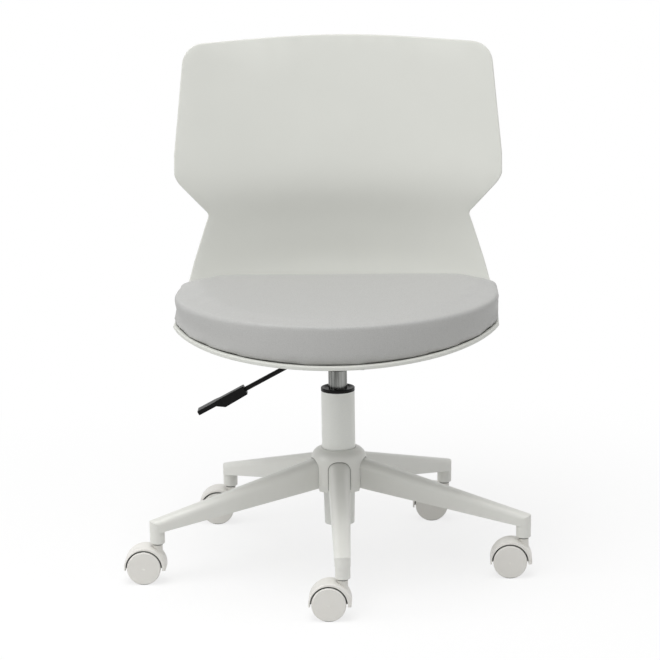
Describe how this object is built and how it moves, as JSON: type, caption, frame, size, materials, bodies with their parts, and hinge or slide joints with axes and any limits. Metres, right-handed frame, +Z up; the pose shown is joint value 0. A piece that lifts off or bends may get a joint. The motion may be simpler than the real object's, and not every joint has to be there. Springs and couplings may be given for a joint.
{
  "type": "office chair",
  "caption": "Swivel office chair: one-piece moulded shell with a padded seat on a gas-spring column, a star base with tapered legs and hooded twin-wheel casters.",
  "frame": {"origin": "on the floor, on the column's axis, the chair standing on its casters at its lowest height", "axes": "+Z up; the sitter faces -Y; +X is towards the sitter's left hand, and the height lever is on the -X side"},
  "size_m": [0.6036, 0.5631, 0.768],
  "materials": {
    "shell_plastic": "injection-moulded polypropylene, fine satin texture, pale grey",
    "pad_cover": "coated upholstery fabric with a fine grain, light grey",
    "base_nylon": "glass-filled nylon, satin, pale grey",
    "caster_nylon": "moulded nylon, satin, warm pale grey",
    "painted_steel": "powder-coated tube, satin pale grey",
    "bare_steel": "ground and polished steel",
    "zinc_steel": "zinc-plated steel",
    "black_steel": "black powder coat",
    "black_plastic": "black moulded plastic",
    "black_rubber": "black rubber",
    "plywood": "raw plywood board"
  },
  "bodies": {
    "base": {"hub_core": "zinc_steel", "hub_cover": "base_nylon", "leg_1": "base_nylon", "leg_2": "base_nylon", "leg_3": "base_nylon", "leg_4": "base_nylon", "leg_5": "base_nylon", "stem_sleeves": "black_plastic", "column_tube": "painted_steel", "guide_bush": "black_plastic", "bearing_lower_race": "bare_steel", "bearing_balls": "bare_steel"},
    "spring_rod": {"piston_rod": "bare_steel", "piston_head": "bare_steel", "piston_seal": "black_rubber", "rod_clip": "zinc_steel", "bottom_buffer": "black_rubber", "bearing_upper_race": "bare_steel"},
    "seat": {"gas_cylinder": "bare_steel", "cylinder_gland": "black_plastic", "mount_plate": "black_steel", "mechanism_box": "black_steel", "taper_socket": "black_steel", "plate_bolts": "zinc_steel", "plate_washers": "zinc_steel", "tee_nuts": "zinc_steel", "lever_pivot_pin": "zinc_steel", "seat_shell": "shell_plastic", "seat_cushion": "pad_cover", "cushion_board": "plywood"},
    "lever": {"lever_rod": "black_steel", "lever_handle": "black_plastic"},
    "valve_pin": {"release_pin": "bare_steel"},
    "caster_1": {"caster_1_hood": "caster_nylon", "caster_1_stem": "zinc_steel", "caster_1_axle": "zinc_steel"},
    "wheel_1_front": {"caster_1_wheel_front": "caster_nylon"},
    "wheel_1_rear": {"caster_1_wheel_rear": "caster_nylon"},
    "caster_2": {"caster_2_hood": "caster_nylon", "caster_2_stem": "zinc_steel", "caster_2_axle": "zinc_steel"},
    "wheel_2_front": {"caster_2_wheel_front": "caster_nylon"},
    "wheel_2_rear": {"caster_2_wheel_rear": "caster_nylon"},
    "caster_3": {"caster_3_hood": "caster_nylon", "caster_3_stem": "zinc_steel", "caster_3_axle": "zinc_steel"},
    "wheel_3_front": {"caster_3_wheel_front": "caster_nylon"},
    "wheel_3_rear": {"caster_3_wheel_rear": "caster_nylon"},
    "caster_4": {"caster_4_hood": "caster_nylon", "caster_4_stem": "zinc_steel", "caster_4_axle": "zinc_steel"},
    "wheel_4_front": {"caster_4_wheel_front": "caster_nylon"},
    "wheel_4_rear": {"caster_4_wheel_rear": "caster_nylon"},
    "caster_5": {"caster_5_hood": "caster_nylon", "caster_5_stem": "zinc_steel", "caster_5_axle": "zinc_steel"},
    "wheel_5_front": {"caster_5_wheel_front": "caster_nylon"},
    "wheel_5_rear": {"caster_5_wheel_rear": "caster_nylon"}
  },
  "joints": [
    {"name": "seat_swivel", "type": "hinge", "parent": "base", "child": "spring_rod", "pos_m": [0, 0, 0.069], "axis": [0, 0, 1], "continuous": true},
    {"name": "seat_height", "type": "slide", "parent": "spring_rod", "child": "seat", "axis": [0, 0, 1], "range_m": [0, 0.1]},
    {"name": "lever_lift", "type": "hinge", "parent": "seat", "child": "lever", "pos_m": [-0.024, 0, 0.33], "axis": [0, 1, 0], "range_deg": [0, 8], "stiffness_Nm_per_rad": 1.5},
    {"name": "pin_push", "type": "slide", "parent": "seat", "child": "valve_pin", "axis": [0, 0, -1], "range_m": [0, 0.0036]},
    {"name": "caster_1_swivel", "type": "hinge", "parent": "base", "child": "caster_1", "pos_m": [0.01268, -0.28472, 0.059], "axis": [0, 0, 1], "continuous": true},
    {"name": "wheel_1_front_roll", "type": "hinge", "parent": "caster_1", "child": "wheel_1_front", "pos_m": [-0.00732, -0.28472, 0.025], "axis": [0, 1, 0], "continuous": true},
    {"name": "wheel_1_rear_roll", "type": "hinge", "parent": "caster_1", "child": "wheel_1_rear", "pos_m": [-0.00732, -0.28472, 0.025], "axis": [0, 1, 0], "continuous": true},
    {"name": "caster_2_swivel", "type": "hinge", "parent": "base", "child": "caster_2", "pos_m": [0.2747, -0.07592, 0.059], "axis": [0, 0, 1], "continuous": true},
    {"name": "wheel_2_front_roll", "type": "hinge", "parent": "caster_2", "child": "wheel_2_front", "pos_m": [0.2547, -0.07592, 0.025], "axis": [0, 1, 0], "continuous": true},
    {"name": "wheel_2_rear_roll", "type": "hinge", "parent": "caster_2", "child": "wheel_2_rear", "pos_m": [0.2547, -0.07592, 0.025], "axis": [0, 1, 0], "continuous": true},
    {"name": "caster_3_swivel", "type": "hinge", "parent": "base", "child": "caster_3", "pos_m": [0.1571, 0.2378, 0.059], "axis": [0, 0, 1], "continuous": true},
    {"name": "wheel_3_front_roll", "type": "hinge", "parent": "caster_3", "child": "wheel_3_front", "pos_m": [0.13709, 0.2378, 0.025], "axis": [0, 1, 0], "continuous": true},
    {"name": "wheel_3_rear_roll", "type": "hinge", "parent": "caster_3", "child": "wheel_3_rear", "pos_m": [0.13709, 0.2378, 0.025], "axis": [0, 1, 0], "continuous": true},
    {"name": "caster_4_swivel", "type": "hinge", "parent": "base", "child": "caster_4", "pos_m": [-0.17761, 0.22289, 0.059], "axis": [0, 0, 1], "continuous": true},
    {"name": "wheel_4_front_roll", "type": "hinge", "parent": "caster_4", "child": "wheel_4_front", "pos_m": [-0.19761, 0.22289, 0.025], "axis": [0, 1, 0], "continuous": true},
    {"name": "wheel_4_rear_roll", "type": "hinge", "parent": "caster_4", "child": "wheel_4_rear", "pos_m": [-0.19761, 0.22289, 0.025], "axis": [0, 1, 0], "continuous": true},
    {"name": "caster_5_swivel", "type": "hinge", "parent": "base", "child": "caster_5", "pos_m": [-0.26686, -0.10004, 0.059], "axis": [0, 0, 1], "continuous": true},
    {"name": "wheel_5_front_roll", "type": "hinge", "parent": "caster_5", "child": "wheel_5_front", "pos_m": [-0.28686, -0.10004, 0.025], "axis": [0, 1, 0], "continuous": true},
    {"name": "wheel_5_rear_roll", "type": "hinge", "parent": "caster_5", "child": "wheel_5_rear", "pos_m": [-0.28686, -0.10004, 0.025], "axis": [0, 1, 0], "continuous": true}
  ],
  "couplings": [
    {"joint": "pin_push", "follows": "lever_lift", "m_per_rad": 0.0245}
  ]
}
